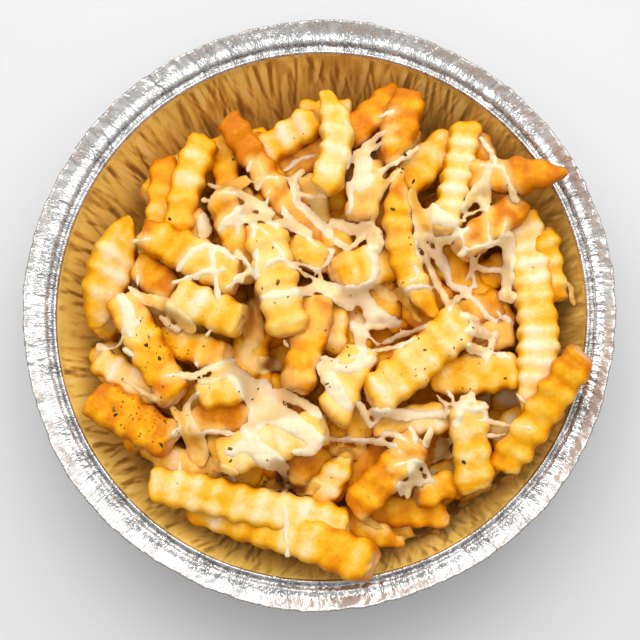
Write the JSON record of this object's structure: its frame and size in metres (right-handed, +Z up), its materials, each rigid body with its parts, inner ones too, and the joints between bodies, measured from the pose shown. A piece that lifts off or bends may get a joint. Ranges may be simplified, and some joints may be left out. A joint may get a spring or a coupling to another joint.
{
  "type": "dish of french fries",
  "caption": "Round foil take-away pan with a rolled rim, heaped with crinkle-cut fries under melted shredded cheese and dried herbs.",
  "frame": {"origin": "centre of the pan's flat underside", "axes": "+Z up, +X to the picture's right, +Y to the picture's top"},
  "size_m": [0.1822, 0.1822, 0.0596],
  "materials": {
    "foil": "bright crinkled foil",
    "fried": "fried potato, pale gold with melted cheese"
  },
  "bodies": {
    "root": {"foil_pan": "foil", "fries_heap": "fried"}
  },
  "joints": []
}
